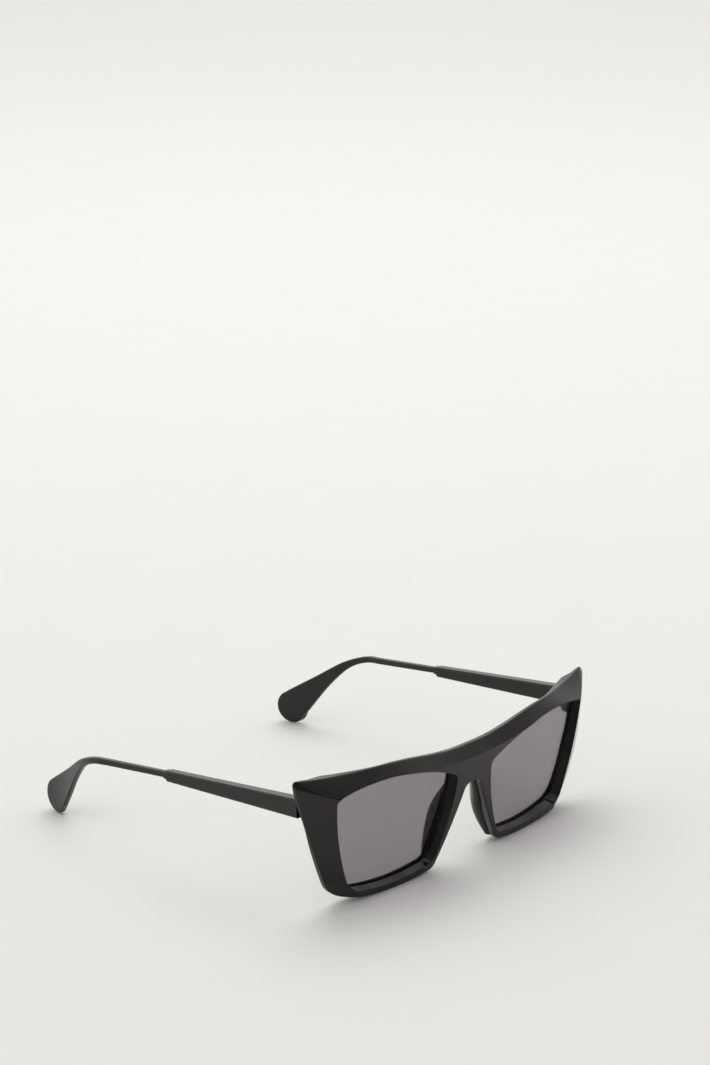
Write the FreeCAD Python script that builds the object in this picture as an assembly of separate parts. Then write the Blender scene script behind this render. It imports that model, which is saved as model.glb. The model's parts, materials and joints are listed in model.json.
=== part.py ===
import FreeCAD, Part
import math
import os

# Cat eye sunglasses: a faceted acetate front, two tinted lenses, and two temples that fold
# inwards on five-barrel screw hinges. Millimetres. X runs across the face, Y from the front
# back along the temples, Z up. The glasses stand on the lower corners of the front and on
# the two temple tips, with the origin at the middle of that footprint.

Vector = FreeCAD.Vector

# ---- driving dimensions -------------------------------------------------------------------

FRONT_TILT = 6.94        # degrees that the top of the front leans forward
FRONT_RADIUS = 520.0     # bow of the front face
BACK_RADIUS = 400.0      # bow of the back face, the same as the lens's
BRIDGE_THICKNESS = 5.1
HALF_REACH = 85.0        # how far the construction shapes run past the middle
BACK_LEVELS = (-10.0, -2.0, 5.0, 11.0, 17.0, 23.0, 29.0, 35.0, 41.0, 47.0, 53.0)
BACK_STATIONS = 27       # grid columns from the middle to past the wall

LENS_RADIUS = 400.0      # bow of the lens front
LENS_DEPTH = 2.9         # lens front behind the front face, at the middle
LENS_THICKNESS = 1.6
LENS_GRIP = 0.7          # how far the lens runs into the rim
GROOVE_GAP = 0.03

MITRE_LEAN = 0.04        # how much deeper the third facet cuts towards the tip
RIDGE_BREAK = 0.35       # chamfer along the ridge, measured down and back
BROW_SWELL = 3.6         # extra thickness behind the outer end of the brow
RIM_EDGE = 0.4           # rounding of the rims' lower and inner front edges
LUG_BACK = 9.7           # upright back face of the end pieces
LUG_ACROSS = (63.4, 68.0)
LUG_DEPTH = (9.7, 30.0)  # from inside the front to past the trimmed back
LUG_UPRIGHT = (29.3, 38.5)
LUG_EDGE = 1.2

TEMPLE_GAP = 0.3         # between the temple and the end piece
SLEEVE_END = 67.5
SLEEVE_INNER = 66.7
SLEEVE_OUTER = 70.7
COLLAR = 1.0
BAR_SEAT = 8.0           # length of bar held inside the sleeve
BAR_SLOPE = 0.093        # fall of the bar towards the back
BAR_HEIGHT = 2.1
BAR_WIDTH = 2.2
ARM_EDGE = 0.6           # rounding of the bar and the paddle
BEND = 101.0             # where the bar turns down
CORE_HEIGHT = 1.0
CORE_WIDTH = 0.8
CORE_START = 23.5

HINGE_X = 65.1
HINGE_Y = LUG_BACK + 1.95
HINGE_Z = 34.9           # middle of the five barrels
BARREL_RADIUS = 1.3
BARREL_HEIGHT = 0.9
BARREL_GAP = 0.3         # filled by a washer, but for running clearance
WASHER_THICKNESS = 0.22
SCREW_RADIUS = 0.6
SCREW_HEAD_RADIUS = 1.0
SCREW_HEAD = 0.5
RUNNING_GAP = 0.04
LEAF_THICKNESS = 0.8
LEAF_HEIGHT = 3.6
LEAF_LENGTH = 7.5
FLANGE = 0.5
ANCHOR_DEPTH = 2.7
RIVET_RADIUS = 0.5
RIVET_DEPTH = 1.6        # into the sleeve
RIVET_HEAD_RADIUS = 0.85
RIVET_HEAD = 0.25

PAD_DEPTH = 9.4          # how far the nose pads reach behind the front face
PAD_CLEARANCE = 0.4      # between the nose pads and the lenses


# ---- construction helpers -----------------------------------------------------------------

def bow(x, radius):
    """Depth of a shallow bow at x."""
    return x * x / (2.0 * radius)


def spline(points):
    """A smooth edge through points."""
    curve = Part.BSplineCurve()
    curve.interpolate([Vector(*point) for point in points])
    return curve.toShape()


def arc(start, middle, end):
    return Part.Arc(Vector(*start), Vector(*middle), Vector(*end)).toShape()


def line(start, end):
    return Part.LineSegment(Vector(*start), Vector(*end)).toShape()


def prism(edges, direction):
    """The solid swept by a closed flat outline."""
    wire = Part.Wire(Part.__sortEdges__(edges))
    return Part.Face(wire).extrude(Vector(*direction))


def polygon(points):
    return [line(a, b) for a, b in zip(points, points[1:] + points[:1])]


def mirrored(shape):
    return shape.mirror(Vector(0, 0, 0), Vector(1, 0, 0))


def tilted(shape):
    """Lean a shape that was built on the upright front plane."""
    leaning = shape.copy()
    leaning.rotate(Vector(0, 0, 0), Vector(1, 0, 0), FRONT_TILT)
    return leaning


def box(xs, ys, zs):
    size = [span[1] - span[0] for span in (xs, ys, zs)]
    return Part.makeBox(*size, Vector(xs[0], ys[0], zs[0]))


def cylinder(radius, height, base, direction=(0, 0, 1)):
    return Part.makeCylinder(radius, height, Vector(*base), Vector(*direction))


def group(solids):
    return Part.makeCompound(solids)


# ---- front, built upright: X across, Y depth behind the face's middle, Z up ----------------

def wall_reach(z):
    """How far out the side wall of the front stands at height z."""
    return 59.0 + 0.52 * z - 0.0042 * z * z


def back_depth(x, z):
    """Depth of the front's back face: bowed, swollen behind the brow's end, thin at the wall."""
    reach = min(max((x - 40.0) / 24.0, 0.0), 1.0)
    swell = reach * reach * (3.0 - 2.0 * reach)
    end = min(max((x - 62.0) / 3.0, 0.0), 1.0)
    rise = min(max((z - 35.0 + 7.0 * end) / (6.0 + 4.0 * end), 0.0), 1.0)
    sheet = BRIDGE_THICKNESS + bow(x, BACK_RADIUS) + BROW_SWELL * swell * rise
    wall = 8.1 + 0.06 * z + 0.0025 * z * z + 0.4 * (wall_reach(z) - x)
    blend = 0.6
    return -blend * math.log(math.exp(-sheet / blend) + math.exp(-wall / blend))


def front_sheet():
    """Everything behind the bowed front face."""
    depth = bow(HALF_REACH, FRONT_RADIUS)
    face = arc((-HALF_REACH, depth, -10), (0, 0, -10), (HALF_REACH, depth, -10))
    ends = [line((side * HALF_REACH, depth, -10), (side * HALF_REACH, 40, -10)) for side in (1, -1)]
    return prism([face, line((-HALF_REACH, 40, -10), (HALF_REACH, 40, -10))] + ends, (0, 0, 70))


def behind_back():
    """Everything behind the smooth back face, which follows back_depth over a grid."""
    rows = []
    for z in BACK_LEVELS:
        height = max(z, 0.0)
        step = 1.08 * wall_reach(height) / BACK_STATIONS
        stations = [step * index for index in range(-BACK_STATIONS, BACK_STATIONS + 1)]
        rows.append([Vector(x, back_depth(abs(x), height), z) for x in stations])
    surface = Part.BSplineSurface()
    surface.interpolate(rows)
    return surface.toShape().extrude(Vector(0, 60, 0))


def upright_edges(shape, depth, x, z):
    """The edges that run front to back at a place in the outline, on either side."""
    return [edge for edge in shape.Edges
            if abs(edge.BoundBox.YLength - depth) < 0.01
            and abs(abs(edge.CenterOfMass.x) - x) < 0.05 and abs(edge.CenterOfMass.z - z) < 0.05]


def front_outline():
    """Outer shape of the front, seen square on."""
    brow = [(0, 39.6), (6, 39.6), (12, 39.9), (18, 40.5), (26, 41.5), (35, 42.4), (46, 42.6),
            (57, 42.3), (65, 42.6), (70.6, 43.1)]
    brow = [(-x, z) for x, z in reversed(brow[1:])] + brow
    edges = [spline([(x, 0, z) for x, z in brow])]
    wall_top = (73.5, 0, 43.3)
    wall_foot = (59.7, 0, 2.6)
    nose_foot = (16.4, 0, 1.1)
    nose_top = (3.4, 0, 27.4)
    for side in (1, -1):
        def placed(point):
            return (side * point[0], point[1], point[2])
        edges.append(line(placed((70.6, 0, 43.1)), placed(wall_top)))
        edges.append(arc(placed(wall_top), placed((68.7, 0, 24.0)), placed(wall_foot)))
        edges.append(arc(placed(wall_foot), placed((38.0, 0, -0.2)), placed(nose_foot)))
        edges.append(arc(placed(nose_foot), placed((9.0, 0, 14.6)), placed(nose_top)))
    edges.append(line((-3.4, 0, 27.4), (3.4, 0, 27.4)))
    shape = prism(edges, (0, 30, 0))
    for (x, y, z), radius in ((wall_foot, 11.0), (nose_foot, 4.2), (nose_top, 3.2), (wall_top, 1.2)):
        shape = shape.makeFillet(radius, upright_edges(shape, 30, x, z))
    return shape


def crossing(first, second, near):
    """Where two circles of the upright plane cross, at the crossing nearer to a point."""
    span = second.Center - first.Center
    along = (span.Length ** 2 + first.Radius ** 2 - second.Radius ** 2) / (2 * span.Length)
    across = math.sqrt(first.Radius ** 2 - along ** 2)
    foot = first.Center + span * (along / span.Length)
    sideways = span.cross(Vector(0, 1, 0)).normalize() * across
    return min((foot + sideways, foot - sideways), key=lambda point: (point - near).Length)


def opening(margin=0.0, depth=30.0):
    """The lens opening on the +X side, four shallow arcs, grown by a margin all round."""
    corners = [Vector(x, 0, z) for x, z in ((8.5, 31.8), (62.2, 37.4), (53.9, 4.0), (16.6, 3.8))]
    middles = [Vector(x, 0, z) for x, z in ((34.4, 39.25), (59.8, 20.6), (35.6, 2.0), (10.45, 19.4))]
    rings = []
    for index, middle in enumerate(middles):
        side = arc(corners[index], middle, corners[(index + 1) % 4]).Curve
        rings.append(Part.Circle(side.Center, Vector(0, 1, 0), side.Radius + margin))
    grown = [crossing(rings[index - 1], rings[index], corners[index]) for index in range(4)]
    edges = []
    for index, ring in enumerate(rings):
        outward = (middles[index] - ring.Center).normalize()
        edges.append(arc(grown[index], ring.Center + outward * ring.Radius, grown[(index + 1) % 4]))
    shape = prism(edges, (0, depth, 0))
    for corner, radius in zip(grown, (3.2, 2.2, 8.5, 4.5)):
        shape = shape.makeFillet(radius + margin, upright_edges(shape, depth, corner.x, corner.z))
    return shape


def facet_cutter(near_points, far_points, away):
    """Everything on the open side of a facet that runs between two edges of the front."""
    near_edge = spline(near_points)
    far_edge = spline(far_points)
    facet = Part.makeRuledSurface(near_edge, far_edge)
    return facet.extrude(Vector(*away))


def stretched(near, far, before, beyond):
    """Two facet edges moved apart along the facet, so that the cutter passes both."""
    near_out = []
    far_out = []
    for a, b in zip(near, far):
        step = Vector(*b) - Vector(*a)
        near_out.append(tuple(Vector(*a) - step * before))
        far_out.append(tuple(Vector(*a) + step * beyond))
    return near_out, far_out


def brow_edges():
    """Crease and ridge of the facet along the brow, from the middle out."""
    crease = [(0, 36.6), (12, 36.8), (20, 37.5), (28, 38.5), (36, 39.0), (46, 39.1), (56, 38.0),
              (64, 36.4), (76, 33.4)]
    ridge = [(0, 3.5, 39.6), (12, 3.7, 39.9), (20, 4.2, 40.8), (28, 4.8, 41.7), (36, 5.6, 42.5),
             (46, 7.2, 42.6), (56, 10.0, 42.3), (64, 12.0, 42.6), (76, 15.2, 43.6)]
    near = [(x, bow(x, FRONT_RADIUS), z) for x, z in crease]
    return near, ridge


def side_edges():
    """Front and back edge of the facet down the outer side, from the foot up."""
    crease = [(51.0, -2.0), (54.0, 8.0), (57.4, 20.5), (59.8, 36.0), (60.8, 50.0)]
    near = [(x, bow(x, FRONT_RADIUS), z) for x, z in crease]
    far = [(57.8, 6.4, -2.0), (62.6, 7.2, 8.0), (67.4, 8.6, 20.5), (71.6, 11.8, 36.0),
           (74.8, 15.6, 50.0)]
    return near, far


def edge_near(shape, place):
    """The edge that passes closest to a place."""
    probe = Part.Vertex(Vector(*place))
    return min(shape.Edges, key=lambda edge: edge.distToShape(probe)[0])


def front_block():
    """The front with its facets, before the lens openings are cut."""
    block = front_sheet().common(front_outline())
    rims = [edge_near(block, (side * 9.5, 0.1, 13.9)) for side in (1, -1)]
    block = block.makeFillet(RIM_EDGE, rims).cut(behind_back())
    near, far = brow_edges()
    near = [(-x, y, z) for x, y, z in reversed(near[1:])] + near
    far = [(-x, y, z) for x, y, z in reversed(far[1:])] + far
    ridge = [Vector(*point) for point in far]
    below = [point + (Vector(*foot) - point).normalize() * RIDGE_BREAK for foot, point in zip(near, ridge)]
    behind = [point + Vector(0, RIDGE_BREAK, 0) for point in ridge]
    near, far = stretched(near, far, 1.0, 2.2)
    block = block.cut(facet_cutter(near, far, (0, -18, 18)))
    below, behind = stretched(below, behind, 0.5, 0.5)
    block = block.cut(facet_cutter(below, behind, (0, -1, 3)))
    near, far = side_edges()
    near, far = stretched(near, far, 0.8, 2.2)
    cutters = [facet_cutter(near, far, (18, -18, 0)), foot_facet(), mitre_facet()]
    for cutter in cutters:
        block = block.cut(cutter).cut(mirrored(cutter))
    return block.makeFillet(RIM_EDGE, [edge_near(block, (0, BRIDGE_THICKNESS, 39.6))])


def plane_cutter(point, outward, size=40.0):
    """A block that removes everything beyond a plane."""
    normal = Vector(*outward)
    normal.normalize()
    face = Part.makePlane(size, size, Vector(0, 0, 0), Vector(0, 0, 1))
    face.translate(Vector(-size / 2, -size / 2, 0))
    turn = FreeCAD.Rotation(Vector(0, 0, 1), normal)
    face.Placement = FreeCAD.Placement(Vector(*point), turn).multiply(face.Placement)
    return face.extrude(normal * size)


def foot_facet():
    """The small bevel under the lower outer corner."""
    start = Vector(49.0, bow(49.0, FRONT_RADIUS), 0.2)
    upper = Vector(59.0, 5.9, 6.0)
    corner = Vector(60.9, 8.9, 2.2)
    outward = (corner - start).cross(upper - start)
    return plane_cutter(start, outward)


def mitre_facet():
    """The narrow third facet where the brow facet meets the side facet, widest at the tip."""
    start = Vector(64.5, 6.75, 38.35)
    tip = Vector(73.15, 13.6, 42.55)
    along = (tip - start).normalize()
    outward = Vector(0.40, -0.74, 0.53)
    outward = outward - along * outward.dot(along)
    outward.normalize()
    return plane_cutter(start, outward + along * MITRE_LEAN)


def lens_slab(gap=0.0):
    """The bowed sheet that the lenses are cut from."""
    outer = LENS_DEPTH - gap
    inner = LENS_DEPTH + LENS_THICKNESS + gap
    depth = bow(HALF_REACH, LENS_RADIUS)
    low = -10.0
    front = arc((-HALF_REACH, outer + depth, low), (0, outer, low), (HALF_REACH, outer + depth, low))
    back = arc((-HALF_REACH, inner + depth, low), (0, inner, low), (HALF_REACH, inner + depth, low))
    ends = [line((side * HALF_REACH, outer + depth, low), (side * HALF_REACH, inner + depth, low))
            for side in (1, -1)]
    return prism([front, back] + ends, (0, 0, 60))


def nose_splay():
    """What is milled away so that the nose sides open out towards the face."""
    levels = [(30.5, -1.4, 3.0), (26.5, 4.0, 6.0), (21.0, 6.3, 9.0), (15.0, 8.7, 11.2),
              (9.0, 11.3, 13.6), (4.0, 14.0, 15.8), (0.5, 16.4, 17.6), (-6.0, 21.0, 21.4)]
    near = [(front, 2.0, z) for z, front, back in levels]
    far = [(back, PAD_DEPTH, z) for z, front, back in levels]
    near, far = stretched(near, far, 0.0, 2.0)
    return facet_cutter(near, far, (-30, 0, 0)).common(box((0, 40), (0, 40), (-20, 60)))


def lug():
    """The block behind the outer end of the brow that carries the hinge."""
    block = box(LUG_ACROSS, LUG_DEPTH, LUG_UPRIGHT)
    block = block.makeFillet(LUG_EDGE, [edge for edge in block.Edges if edge.BoundBox.YLength > 19])
    return tilted(block).cut(box((0, 100), (LUG_BACK, 60), (0, 80)))


def front_frame():
    hole = opening()
    groove = opening(LENS_GRIP + GROOVE_GAP).common(lens_slab(GROOVE_GAP))
    frame = front_block()
    for cutter in (hole, groove, nose_splay()):
        frame = frame.cut(cutter).cut(mirrored(cutter))
    return tilted(frame).fuse(lug()).fuse(mirrored(lug()))


def lens():
    return tilted(opening(LENS_GRIP).common(lens_slab()))


def nose_pad():
    """The built-up pad glued behind the nose side of a rim, flaring out and back."""
    levels = [(27.6, 4.4, 5.4, 5.3, 6.6, 6.0), (25.0, 4.6, 6.6, 6.7, 8.2, 6.8),
              (21.0, 6.3, 8.4, 7.9, 9.9, 8.2), (15.0, 8.7, 10.1, 8.2, 12.0, 8.6),
              (9.0, 11.3, 12.0, 7.1, 14.4, 7.4), (4.6, 13.7, 14.3, 5.9, 16.0, 6.1),
              (2.0, 15.2, 15.7, 5.0, 16.9, 5.3)]
    sections = []
    for z, front, back, depth, wing, far in levels:
        ring = [(front + 1.0, 2.4, z), (back, depth, z), (wing, far, z),
                (wing + 0.7, far - 0.9, z), (front + 3.6, 4.0, z)]
        sections.append(Part.Wire([spline(ring), line(ring[-1], ring[0])]))
    pad = Part.makeLoft(sections, True)
    return tilted(pad.cut(opening(LENS_GRIP + 0.1).common(lens_slab(PAD_CLEARANCE))))


# ---- hinges: the +X side ------------------------------------------------------------------

STACK = 5 * BARREL_HEIGHT + 4 * BARREL_GAP


def barrel_bottom(index):
    """Height of the underside of one of the five barrels, counted from below."""
    return HINGE_Z - STACK / 2 + index * (BARREL_HEIGHT + BARREL_GAP)


def barrel_row(indices, reach, bore):
    """Barrels with the webs that join them to a leaf, bored for the screw."""
    row = []
    for index in indices:
        bottom = barrel_bottom(index)
        barrel = cylinder(BARREL_RADIUS, BARREL_HEIGHT, (HINGE_X, HINGE_Y, bottom))
        web = box(reach[0], reach[1], (bottom, bottom + BARREL_HEIGHT))
        row.append(barrel.fuse(web))
    hole = cylinder(bore, 2 * STACK, (HINGE_X, HINGE_Y, HINGE_Z - STACK))
    return [barrel.cut(hole) for barrel in row]


def front_hinge():
    """Front leaf: a toothed anchor sunk into the end piece, a flange and three barrels."""
    low = HINGE_Z - STACK / 2
    flange = box((HINGE_X - 1.3, HINGE_X + 1.3), (LUG_BACK, LUG_BACK + FLANGE), (low, low + STACK))
    leaf = flange.fuse(anchor(0.0))
    reach = ((HINGE_X - 0.9, HINGE_X + 0.9), (LUG_BACK, HINGE_Y))
    for barrel in barrel_row((0, 2, 4), reach, SCREW_RADIUS):
        leaf = leaf.fuse(barrel)
    seat = cylinder(SCREW_HEAD_RADIUS, 1.0, (HINGE_X, HINGE_Y, HINGE_Z + STACK / 2 - SCREW_HEAD))
    return leaf.cut(seat).removeSplitter()


def anchor(gap):
    """The anchor block with two rows of teeth, or with a gap the pocket it is pressed into."""
    block = box((HINGE_X - 0.8 - gap, HINGE_X + 0.8 + gap), (LUG_BACK - ANCHOR_DEPTH - gap, LUG_BACK),
                (HINGE_Z - 2.0 - gap, HINGE_Z + 2.0 + gap))
    for depth in (0.9, 2.1):
        tooth = box((HINGE_X - 1.1 - gap, HINGE_X + 1.1 + gap),
                    (LUG_BACK - depth - 0.5 - gap, LUG_BACK - depth + gap),
                    (HINGE_Z - 2.0 - gap, HINGE_Z + 2.0 + gap))
        block = block.fuse(tooth)
    return block.removeSplitter()


def temple_leaf():
    """The plate of the temple leaf, let in flush with the sleeve's inner face."""
    start = HINGE_Y + 0.4
    leaf = box((SLEEVE_INNER, SLEEVE_INNER + LEAF_THICKNESS), (start, start + LEAF_LENGTH),
               (HINGE_Z - LEAF_HEIGHT / 2, HINGE_Z + LEAF_HEIGHT / 2))
    corners = [edge for edge in leaf.Edges
               if abs(edge.BoundBox.XLength - LEAF_THICKNESS) < 0.001 and edge.CenterOfMass.y > start + 1]
    return leaf.makeFillet(1.2, corners)


def temple_hinge():
    """Temple leaf: two barrels on a plate that is riveted into the sleeve."""
    leaf = temple_leaf()
    across = (HINGE_X + SCREW_RADIUS + 0.2, SLEEVE_INNER + LEAF_THICKNESS / 2)
    reach = (across, (HINGE_Y, HINGE_Y + BARREL_RADIUS))
    for barrel in barrel_row((1, 3), reach, SCREW_RADIUS + RUNNING_GAP):
        leaf = leaf.fuse(barrel)
    for y, z in rivet_places():
        leaf = leaf.cut(cylinder(RIVET_RADIUS, 4, (SLEEVE_INNER - 2, y, z), (1, 0, 0)))
    return leaf.removeSplitter()


def rivet_places():
    return [(HINGE_Y + 3.2, HINGE_Z - 0.6), (HINGE_Y + 5.8, HINGE_Z - 0.9)]


def temple_rivets():
    """Short rivets whose domed heads hold the temple leaf in the sleeve."""
    rivets = []
    for y, z in rivet_places():
        shank = cylinder(RIVET_RADIUS, LEAF_THICKNESS + RIVET_DEPTH, (SLEEVE_INNER, y, z), (1, 0, 0))
        head = cylinder(RIVET_HEAD_RADIUS, RIVET_HEAD, (SLEEVE_INNER - RIVET_HEAD, y, z), (1, 0, 0))
        rim = [edge for edge in head.Edges if abs(edge.CenterOfMass.x - SLEEVE_INNER + RIVET_HEAD) < 0.001]
        rivets.append(shank.fuse(head.makeFillet(0.15, rim)).removeSplitter())
    return group(rivets)


def hinge_screw():
    """Countersunk slotted screw that runs down through the five barrels."""
    top = HINGE_Z + STACK / 2
    shaft = cylinder(SCREW_RADIUS, STACK - 0.1, (HINGE_X, HINGE_Y, top - STACK + 0.1))
    head = cylinder(SCREW_HEAD_RADIUS, SCREW_HEAD, (HINGE_X, HINGE_Y, top - SCREW_HEAD))
    slot = box((HINGE_X - 1.5, HINGE_X + 1.5), (HINGE_Y - 0.12, HINGE_Y + 0.12), (top - 0.25, top + 1))
    return shaft.fuse(head).removeSplitter().cut(slot)


def hinge_washers():
    """Thin nylon rings in the four gaps between the barrels."""
    rings = []
    for index in range(4):
        bottom = barrel_bottom(index) + BARREL_HEIGHT + (BARREL_GAP - WASHER_THICKNESS) / 2
        ring = cylinder(BARREL_RADIUS - 0.1, WASHER_THICKNESS, (HINGE_X, HINGE_Y, bottom))
        bore = cylinder(SCREW_RADIUS + RUNNING_GAP, 1, (HINGE_X, HINGE_Y, bottom - 0.5))
        rings.append(ring.cut(bore))
    return rings


# ---- temples: the +X side -----------------------------------------------------------------

def bar_middle(y):
    """Height of the thin bar's centre line."""
    return 31.35 - BAR_SLOPE * (y - SLEEVE_END)


def side_band(upper, lower, end):
    """A solid with a given side view: upper and lower edge points joined by an end arc."""
    rows = []
    for straight_start, straight_end, curve in (upper, lower):
        rows.append(line((0, *straight_start), (0, *straight_end)))
        rows.append(spline([(0, *point) for point in [straight_end] + curve]))
    last_upper = upper[2][-1]
    last_lower = lower[2][-1]
    rows.append(arc((0, *last_upper), (0, *end), (0, *last_lower)))
    rows.append(line((0, *upper[0]), (0, *lower[0])))
    band = prism(rows, (60, 0, 0))
    band.translate(Vector(30, 0, 0))
    return band


def plan_band(width, start):
    """A strip seen from above that follows the temple's middle and turns in at the tip."""
    middle = [(68.0, BEND - 6.0), (67.2, 105.0), (64.4, 113.0), (61.3, 121.0), (58.9, 129.0), (57.5, 137.0)]
    sides = []
    for side in (1, -1):
        offset = side * width / 2
        sides.append(spline([(x + offset, y, -5) for x, y in middle]))
        sides.append(line((68.0 + offset, start, -5), (68.0 + offset, BEND - 6.0, -5)))
    last = middle[-1]
    sides.append(line((last[0] - width / 2, last[1], -5), (last[0] + width / 2, last[1], -5)))
    sides.append(line((68.0 - width / 2, start, -5), (68.0 + width / 2, start, -5)))
    return prism(sides, (0, 0, 60))


def temple_arm():
    """The thin bar, seated in the sleeve, which turns down and widens into the paddle tip."""
    start = SLEEVE_END - BAR_SEAT
    half = BAR_HEIGHT / 2
    bend = (BEND - 4.0, bar_middle(BEND - 4.0))
    upper = ((start, bar_middle(start) + half), (bend[0], bend[1] + half),
             [(102.0, 28.85), (106.0, 27.45), (110.4, 25.35), (115.0, 22.3), (121.3, 18.0), (127.0, 14.3),
              (132.4, 10.7)])
    lower = ((start, bar_middle(start) - half), (bend[0], bend[1] - half),
             [(102.0, 26.5), (107.3, 23.9), (111.7, 19.8), (116.0, 14.6), (119.4, 9.8), (123.2, 4.4),
              (125.8, 0.9)])
    band = side_band(upper, lower, (133.9, 3.5))
    arm = band.common(plan_band(BAR_WIDTH, start))
    return arm.makeFillet(ARM_EDGE, arm.Edges)


def temple_core():
    """The flat steel strip that runs inside the sleeve, the bar and the paddle."""
    half = CORE_HEIGHT / 2
    middle = [(CORE_START, 33.9), (SLEEVE_END - BAR_SEAT, bar_middle(SLEEVE_END - BAR_SEAT)),
              (BEND - 2.0, bar_middle(BEND - 2.0)), (BEND + 6.0, 25.9), (121.0, 12.5)]
    outline = [(0, y, z + half) for y, z in middle] + [(0, y, z - half) for y, z in reversed(middle)]
    strip = prism(polygon(outline), (60, 0, 0))
    strip.translate(Vector(30, 0, 0))
    return strip.common(plan_band(CORE_WIDTH, CORE_START - 1.0))


def sleeve_body():
    """The thick front section of the temple, tapering to its rounded shoulder."""
    start = LUG_BACK + TEMPLE_GAP
    side_view = [(0, start, 38.15), (0, SLEEVE_END, 32.95), (0, SLEEVE_END, 29.3), (0, start, 31.8)]
    body = prism(polygon(side_view), (20, 0, 0))
    body.translate(Vector(58, 0, 0))
    plan = [(SLEEVE_INNER, start, 20), (SLEEVE_OUTER, start, 20), (69.6, SLEEVE_END, 20),
            (66.3, SLEEVE_END, 20)]
    body = body.common(prism(polygon(plan), (0, 0, 30)))
    rear = [edge for edge in body.Edges if edge.CenterOfMass.y > SLEEVE_END - 0.1]
    along = [edge for edge in body.Edges if edge.BoundBox.YLength > 40]
    return body.makeFillet(0.7, along + rear)


def temple_sleeve():
    """The sleeve with its seats for the bar, the core, the hinge leaf and the rivets."""
    body = sleeve_body()
    for y, z in rivet_places():
        hole = cylinder(RIVET_RADIUS, LEAF_THICKNESS + RIVET_DEPTH, (SLEEVE_INNER, y, z), (1, 0, 0))
        body = body.cut(hole)
    for seated in (temple_arm(), temple_core(), temple_hinge()):
        body = body.cut(seated)
    return body


def sleeve_collar():
    """The narrow ring that closes the joint between sleeve and bar."""
    start = SLEEVE_END
    height = bar_middle(start + COLLAR / 2)
    ring = box((68.0 - BAR_WIDTH / 2 - 0.25, 68.0 + BAR_WIDTH / 2 + 0.25), (start, start + COLLAR),
               (height - BAR_HEIGHT / 2 - 0.25, height + BAR_HEIGHT / 2 + 0.25))
    long_edges = [edge for edge in ring.Edges if edge.BoundBox.YLength > COLLAR - 0.01]
    return ring.makeFillet(0.4, long_edges).cut(temple_arm())


# ---- the whole -----------------------------------------------------------------------------

def both(name, shape):
    """A left piece and its mirror image on the right, as the wearer sees them."""
    return {"left_" + name: shape, "right_" + name: mirrored(shape)}


def build():
    parts = {}
    pocket = anchor(0.0)
    frame = front_frame().cut(pocket).cut(mirrored(pocket))
    parts["front_frame"] = frame
    parts.update(both("lens", lens()))
    pad = nose_pad().cut(frame)
    parts.update(both("nose_pad", pad))
    parts.update(both("front_hinge", front_hinge()))
    screw = hinge_screw()
    parts["hinge_screws"] = group([screw, mirrored(screw)])
    washers = hinge_washers()
    parts["hinge_washers"] = group(washers + [mirrored(ring) for ring in washers])
    parts.update(both("temple_hinge", temple_hinge()))
    parts.update(both("temple_rivets", temple_rivets()))
    parts.update(both("temple_sleeve", temple_sleeve()))
    parts.update(both("sleeve_collar", sleeve_collar()))
    core = temple_core()
    parts.update(both("temple_arm", temple_arm().cut(core)))
    parts.update(both("temple_core", core))
    return parts


def main():
    os.makedirs("parts", exist_ok=True)
    parts = build()
    extent = group(list(parts.values())).optimalBoundingBox(False)
    shift = Vector(0, -(extent.YMin + extent.YMax) / 2, -extent.ZMin)
    for name, shape in parts.items():
        shape.translate(shift)
        shape.exportStep("parts/" + name + ".step")
        print(name, "solids", len(shape.Solids), "volume", round(shape.Volume, 2),
              "valid", shape.isValid())
    print("shift", [round(value, 4) for value in shift])
    print("hinge axis", HINGE_X, round(HINGE_Y + shift.y, 4), round(HINGE_Z + shift.z, 4))


if __name__ == "__main__":
    main()
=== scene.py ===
import json
import math

import bpy
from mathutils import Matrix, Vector

# Looks for the cat eye sunglasses: polished near-black acetate, tinted lenses and dark metal on
# the CAD pieces, a pale sweep, soft light and a long lens from the wearer's front right.

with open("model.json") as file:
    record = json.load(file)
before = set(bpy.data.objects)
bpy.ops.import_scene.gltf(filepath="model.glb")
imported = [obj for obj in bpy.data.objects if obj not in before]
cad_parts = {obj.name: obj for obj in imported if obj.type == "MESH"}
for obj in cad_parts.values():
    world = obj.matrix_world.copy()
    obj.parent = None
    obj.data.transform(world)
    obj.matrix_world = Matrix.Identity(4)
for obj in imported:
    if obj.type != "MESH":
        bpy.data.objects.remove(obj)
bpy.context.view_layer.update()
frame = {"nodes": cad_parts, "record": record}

# ---- driving values, in metres and degrees ------------------------------------------------

AZIMUTH = 49.078         # camera turned from straight ahead, towards the wearer's right
ELEVATION = 16.262
DISTANCE = 0.9767
AIM = Vector((-0.00167, -0.01904, 0.10154))
FOCAL = 101.586          # mm, on a 36 mm tall sensor
SENSOR = 36.0

FLOOR_SIZE = 14.0
PALE = (0.90, 0.90, 0.885)
DARK_SIDE = Vector((-0.12, -0.76, 0.64))
SKY_DARK = (0.165, 0.165, 0.165)
SKY_MIDDLE = (0.62, 0.61, 0.59)
SKY_BRIGHT = (1.0, 0.98, 0.94)
SKY_POWER = 1.14
BACK_BOX = (0.62, 0.60, 1.45)         # soft light above and behind the glasses
BACK_AIM = (0.25, 0.25, 0)
BACK_SIZE = 1.3
BACK_POWER = 7.0
BACK_COLOR = (1, 1, 0.97)
FAR_BOX = (2.10, 1.75, 1.60)          # a second one over the far floor
FAR_AIM = (1.90, 1.60, 0)
FAR_SIZE = 1.8
FAR_POWER = 5.5
FAR_COLOR = (1, 0.98, 0.95)

ACETATE_IOR = 1.44
LENS_IOR = 1.5
BEVEL_SAMPLES = 6
LENS_TINT = (0.715, 0.686, 0.733)  # what one face lets through, of the light that passes
LENS_CLEAR = 0.72        # share of each face that is filter and not coat


# ---- node helpers ---------------------------------------------------------------------------

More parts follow.
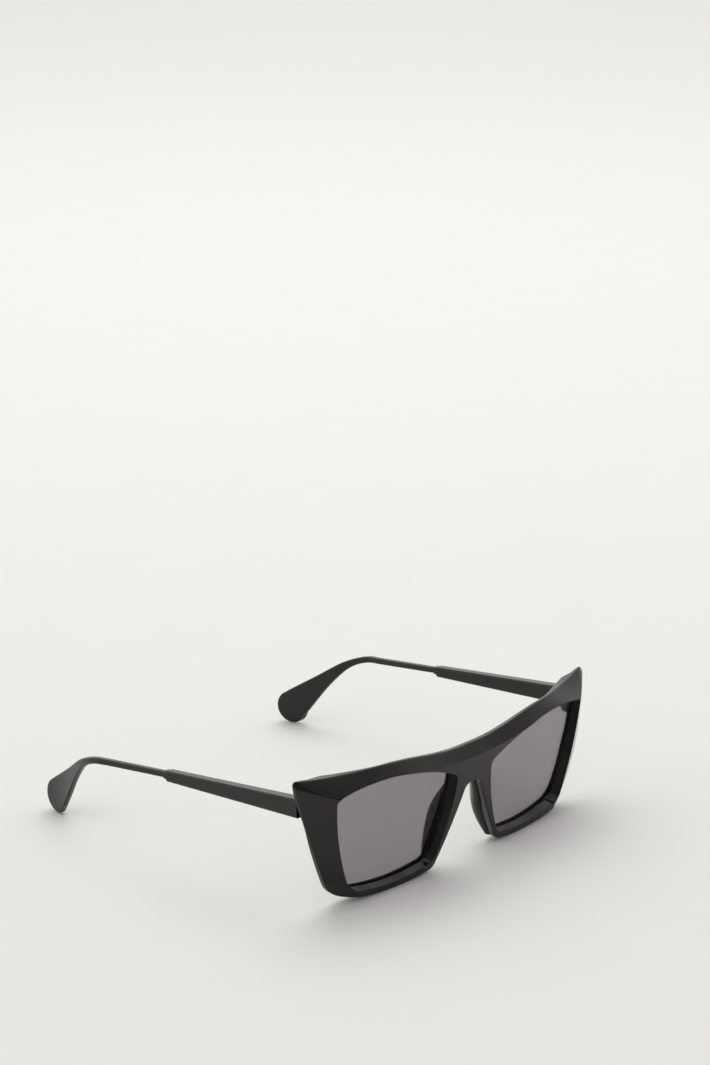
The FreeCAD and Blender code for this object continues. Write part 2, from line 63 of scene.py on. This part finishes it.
class Nodes:
    """A short way to lay out a material's nodes."""

    def __init__(self, name):
        self.material = bpy.data.materials.new(name)
        self.material.use_nodes = True
        self.tree = self.material.node_tree
        self.tree.nodes.clear()
        self.output = self.tree.nodes.new("ShaderNodeOutputMaterial")
        self.shader = self.tree.nodes.new("ShaderNodeBsdfPrincipled")
        self.link(self.shader, "BSDF", self.output, "Surface")
        self.place = self.tree.nodes.new("ShaderNodeTexCoord")

    def link(self, source, out, target, into):
        self.tree.links.new(source.outputs[out], target.inputs[into])

    def noise(self, scale, detail, roughness, stretch=(1, 1, 1)):
        mapping = self.tree.nodes.new("ShaderNodeMapping")
        mapping.inputs["Scale"].default_value = stretch
        self.link(self.place, "Object", mapping, "Vector")
        noise = self.tree.nodes.new("ShaderNodeTexNoise")
        noise.inputs["Scale"].default_value = scale
        noise.inputs["Detail"].default_value = detail
        noise.inputs["Roughness"].default_value = roughness
        self.link(mapping, "Vector", noise, "Vector")
        return noise

    def ramp(self, source, out, stops):
        ramp = self.tree.nodes.new("ShaderNodeValToRGB")
        elements = ramp.color_ramp.elements
        elements[0].position, elements[0].color = stops[0][0], (*stops[0][1], 1)
        elements[1].position, elements[1].color = stops[-1][0], (*stops[-1][1], 1)
        for position, color in stops[1:-1]:
            element = elements.new(position)
            element.color = (*color, 1)
        self.link(source, out, ramp, "Fac")
        return ramp

    def band(self, source, out, low, high):
        """A 0 to 1 value carried into a range."""
        node = self.tree.nodes.new("ShaderNodeMapRange")
        node.inputs["To Min"].default_value = low
        node.inputs["To Max"].default_value = high
        self.link(source, out, node, "Value")
        return node

    def bump(self, source, out, distance, strength, under=None):
        bump = self.tree.nodes.new("ShaderNodeBump")
        bump.inputs["Distance"].default_value = distance
        bump.inputs["Strength"].default_value = strength
        self.link(source, out, bump, "Height")
        if under:
            self.link(under, "Normal", bump, "Normal")
        return bump

    def eased(self, radius, under):
        """Edges that catch light as if rounded by a hand polish, under a finer bump."""
        bevel = self.tree.nodes.new("ShaderNodeBevel")
        bevel.samples = BEVEL_SAMPLES
        bevel.inputs["Radius"].default_value = radius
        self.link(bevel, "Normal", under, "Normal")


# ---- materials --------------------------------------------------------------------------------

def acetate(name, dark, light, gloss, haze, edge):
    """Solid-dyed acetate: a cloudy dye, a polished skin with faint swirls and pulled bump."""
    nodes = Nodes(name)
    cloud = nodes.noise(scale=60.0, detail=4.0, roughness=0.6)
    dye = nodes.ramp(cloud, "Fac", [(0.3, dark), (0.7, light)])
    nodes.link(dye, "Color", nodes.shader, "Base Color")
    swirl = nodes.noise(scale=900.0, detail=3.0, roughness=0.65, stretch=(1.0, 0.35, 1.0))
    rough = nodes.band(swirl, "Fac", gloss, gloss + haze)
    nodes.link(rough, "Result", nodes.shader, "Roughness")
    ripple = nodes.noise(scale=160.0, detail=1.0, roughness=0.4)
    peel = nodes.bump(ripple, "Fac", distance=0.00002, strength=0.3)
    nodes.eased(edge, peel)
    fine = nodes.bump(swirl, "Fac", distance=0.000002, strength=0.4, under=peel)
    nodes.link(fine, "Normal", nodes.shader, "Normal")
    nodes.shader.inputs["IOR"].default_value = ACETATE_IOR
    return nodes.material


def tinted_lens():
    """A grey-violet sheet that lets part of the light through, with a hard glossy coat."""
    nodes = Nodes("tinted_lens")
    cloud = nodes.noise(scale=25.0, detail=2.0, roughness=0.4)
    body = nodes.ramp(cloud, "Fac", [(0.3, (0.030, 0.028, 0.030)), (0.7, (0.034, 0.032, 0.034))])
    nodes.link(body, "Color", nodes.shader, "Base Color")
    smear = nodes.noise(scale=300.0, detail=3.0, roughness=0.6)
    film = nodes.band(smear, "Fac", low=0.02, high=0.06)
    nodes.link(film, "Result", nodes.shader, "Roughness")
    nodes.shader.inputs["IOR"].default_value = LENS_IOR
    filter_sheet = nodes.tree.nodes.new("ShaderNodeBsdfTransparent")
    filter_sheet.inputs["Color"].default_value = (*LENS_TINT, 1)
    mix = nodes.tree.nodes.new("ShaderNodeMixShader")
    mix.inputs["Fac"].default_value = LENS_CLEAR
    nodes.link(nodes.shader, "BSDF", mix, 1)
    nodes.link(filter_sheet, "BSDF", mix, 2)
    nodes.link(mix, "Shader", nodes.output, "Surface")
    return nodes.material


def metal(name, color, rough, metallic, grain):
    """Drawn or plated metal with a fine grain along the piece."""
    nodes = Nodes(name)
    lines = nodes.noise(scale=3000.0, detail=2.0, roughness=0.6, stretch=grain)
    dull = tuple(0.8 * channel for channel in color)
    shade = nodes.ramp(lines, "Fac", [(0.3, dull), (0.7, color)])
    nodes.link(shade, "Color", nodes.shader, "Base Color")
    wear = nodes.band(lines, "Fac", low=rough, high=rough + 0.15)
    nodes.link(wear, "Result", nodes.shader, "Roughness")
    scored = nodes.bump(lines, "Fac", distance=0.000004, strength=0.6)
    nodes.link(scored, "Normal", nodes.shader, "Normal")
    nodes.shader.inputs["Metallic"].default_value = metallic
    return nodes.material


def nylon():
    """The pale, slightly grainy plastic of the washers."""
    nodes = Nodes("nylon")
    grain = nodes.noise(scale=1500.0, detail=3.0, roughness=0.5)
    shade = nodes.ramp(grain, "Fac", [(0.3, (0.55, 0.55, 0.52)), (0.7, (0.62, 0.62, 0.59))])
    nodes.link(shade, "Color", nodes.shader, "Base Color")
    rough = nodes.band(grain, "Fac", low=0.45, high=0.6)
    nodes.link(rough, "Result", nodes.shader, "Roughness")
    return nodes.material


def dress():
    """Gives every CAD node the material of its slot."""
    front_dyes = ((0.0035, 0.0035, 0.003), (0.0055, 0.0053, 0.0047))
    temple_dyes = ((0.004, 0.004, 0.0035), (0.006, 0.0058, 0.005))
    looks = {
        "acetate": acetate("acetate_polished", *front_dyes, gloss=0.10, haze=0.05, edge=0.0004),
        "temple_acetate": acetate("acetate_temple", *temple_dyes, gloss=0.20, haze=0.06, edge=0.0003),
        "arm_acetate": acetate("acetate_arm", *temple_dyes, gloss=0.22, haze=0.06, edge=0.0002),
        "lens": tinted_lens(),
        "hinge_metal": metal("black_plate", (0.03, 0.03, 0.03), 0.28, 0.6, (1, 0.1, 1)),
        "collar_metal": metal("black_collar", (0.04, 0.04, 0.04), 0.25, 0.6, (1, 0.1, 1)),
        "screw_metal": metal("bright_steel", (0.45, 0.45, 0.46), 0.22, 1.0, (1, 1, 0.1)),
        "core_steel": metal("drawn_steel", (0.5, 0.5, 0.5), 0.3, 1.0, (1, 0.05, 1)),
        "washer_nylon": nylon(),
    }
    for entry in frame["record"]["subparts"]:
        piece = frame["nodes"][entry["node"]]
        for slot in piece.material_slots:
            slot.material = looks[entry["material_slot"]]


# ---- surroundings -----------------------------------------------------------------------------

def floor():
    """One pale matte sheet that runs out of view on every side."""
    half = FLOOR_SIZE / 2
    mesh = bpy.data.meshes.new("floor")
    corners = [(-half, -half, 0), (half, -half, 0), (half, half, 0), (-half, half, 0)]
    mesh.from_pydata(corners, [], [(0, 1, 2, 3)])
    sheet = bpy.data.objects.new("floor", mesh)
    bpy.context.collection.objects.link(sheet)
    nodes = Nodes("pale_paper")
    fibre = nodes.noise(scale=40.0, detail=4.0, roughness=0.6)
    shaded = tuple(0.985 * channel for channel in PALE)
    shade = nodes.ramp(fibre, "Fac", [(0.2, shaded), (0.8, PALE)])
    nodes.link(shade, "Color", nodes.shader, "Base Color")
    nodes.shader.inputs["Roughness"].default_value = 0.85
    nodes.shader.inputs["Specular IOR Level"].default_value = 0.2
    mesh.materials.append(nodes.material)


def softbox(name, place, aim, size, power, color):
    """A square area light at a place, turned to its aim."""
    light = bpy.data.lights.new(name, "AREA")
    light.shape = "RECTANGLE"
    light.size = size
    light.size_y = size
    light.energy = power
    light.color = color
    lamp = bpy.data.objects.new(name, light)
    lamp.location = place
    lamp.rotation_euler = (Vector(aim) - Vector(place)).to_track_quat("-Z", "Y").to_euler()
    bpy.context.collection.objects.link(lamp)


def sky():
    """An even pale studio: darker towards the front, where the camera and the room are."""
    world = bpy.data.worlds.new("studio")
    world.use_nodes = True
    tree = world.node_tree
    background = tree.nodes["Background"]
    place = tree.nodes.new("ShaderNodeTexCoord")
    facing = tree.nodes.new("ShaderNodeVectorMath")
    facing.operation = "DOT_PRODUCT"
    facing.inputs[1].default_value = DARK_SIDE.normalized()
    tree.links.new(place.outputs["Generated"], facing.inputs[0])
    ramp = tree.nodes.new("ShaderNodeValToRGB")
    elements = ramp.color_ramp.elements
    elements[0].position, elements[0].color = 0.0, (*SKY_BRIGHT, 1)
    elements[1].position, elements[1].color = 1.0, (*SKY_DARK, 1)
    middle = elements.new(0.55)
    middle.color = (*SKY_MIDDLE, 1)
    tree.links.new(facing.outputs["Value"], ramp.inputs["Fac"])
    tree.links.new(ramp.outputs["Color"], background.inputs["Color"])
    background.inputs["Strength"].default_value = SKY_POWER
    bpy.context.scene.world = world


def surroundings():
    """The sky, two soft lights and plain colours."""
    sky()
    softbox("back_box", BACK_BOX, BACK_AIM, BACK_SIZE, BACK_POWER, BACK_COLOR)
    softbox("far_box", FAR_BOX, FAR_AIM, FAR_SIZE, FAR_POWER, FAR_COLOR)
    bpy.context.scene.view_settings.view_transform = "Standard"


def camera():
    """A long lens that looks past the glasses from the front right of the wearer."""
    turn = math.radians(AZIMUTH)
    rise = math.radians(ELEVATION)
    back = Vector((-math.sin(turn) * math.cos(rise), -math.cos(turn) * math.cos(rise), math.sin(rise)))
    data = bpy.data.cameras.new("camera")
    data.sensor_fit = "VERTICAL"
    data.sensor_height = SENSOR
    data.lens = FOCAL
    data.clip_end = 50.0
    view = bpy.data.objects.new("camera", data)
    view.location = AIM + back * DISTANCE
    view.rotation_euler = back.to_track_quat("Z", "Y").to_euler()
    bpy.context.collection.objects.link(view)
    bpy.context.scene.camera = view


dress()
floor()
surroundings()
camera()
